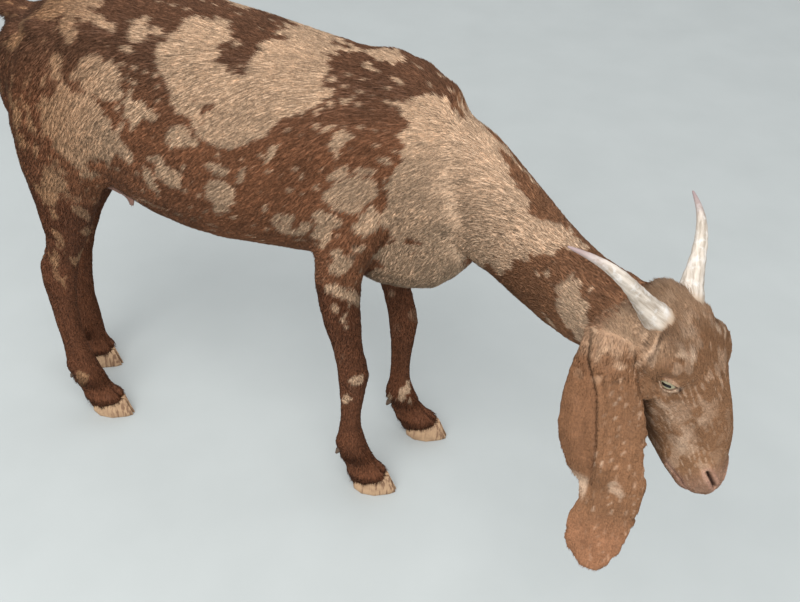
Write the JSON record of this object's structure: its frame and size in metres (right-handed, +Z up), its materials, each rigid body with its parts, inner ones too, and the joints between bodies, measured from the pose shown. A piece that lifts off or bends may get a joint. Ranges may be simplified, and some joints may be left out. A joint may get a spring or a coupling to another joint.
{
  "type": "goat",
  "caption": "Life-size long-eared spotted brown doe standing with her head lowered and turned to her right",
  "frame": {"origin": "on the floor, under the middle of the animal's overall length and breadth", "axes": "+X is the way the animal faces, +Y its left side, +Z up"},
  "size_m": [1.165, 0.5752, 0.7895],
  "materials": {
    "coat": "short dense hair, dark brown with tan patches",
    "face_coat": "very short hair, mid brown with a pale speckle",
    "ear": "very short soft hair, reddish brown",
    "bare_skin": "thin soft skin, pinkish grey",
    "eye": "wet and glossy, brown iris with a level slit",
    "horn": "ringed horn, pale grey to cream",
    "claw": "horny wall, cream with dark streaks",
    "dewclaw": "horny, dull grey"
  },
  "bodies": {
    "root": {"trunk": "coat", "neck": "coat", "head": "face_coat", "tail": "coat", "udder": "bare_skin", "claw_foreleg_left_inner": "claw", "claw_foreleg_left_outer": "claw", "claw_foreleg_right_inner": "claw", "claw_foreleg_right_outer": "claw", "claw_hindleg_left_inner": "claw", "claw_hindleg_left_outer": "claw", "claw_hindleg_right_inner": "claw", "claw_hindleg_right_outer": "claw", "dewclaw_foreleg_left_inner": "dewclaw", "dewclaw_foreleg_left_outer": "dewclaw", "dewclaw_foreleg_right_inner": "dewclaw", "dewclaw_foreleg_right_outer": "dewclaw", "dewclaw_hindleg_left_inner": "dewclaw", "dewclaw_hindleg_left_outer": "dewclaw", "dewclaw_hindleg_right_inner": "dewclaw", "dewclaw_hindleg_right_outer": "dewclaw", "ear_left": "ear", "ear_right": "ear", "eye_left": "eye", "eye_right": "eye", "foreleg_left": "coat", "foreleg_right": "coat", "hindleg_left": "coat", "hindleg_right": "coat", "horn_left": "horn", "horn_right": "horn"}
  },
  "joints": []
}
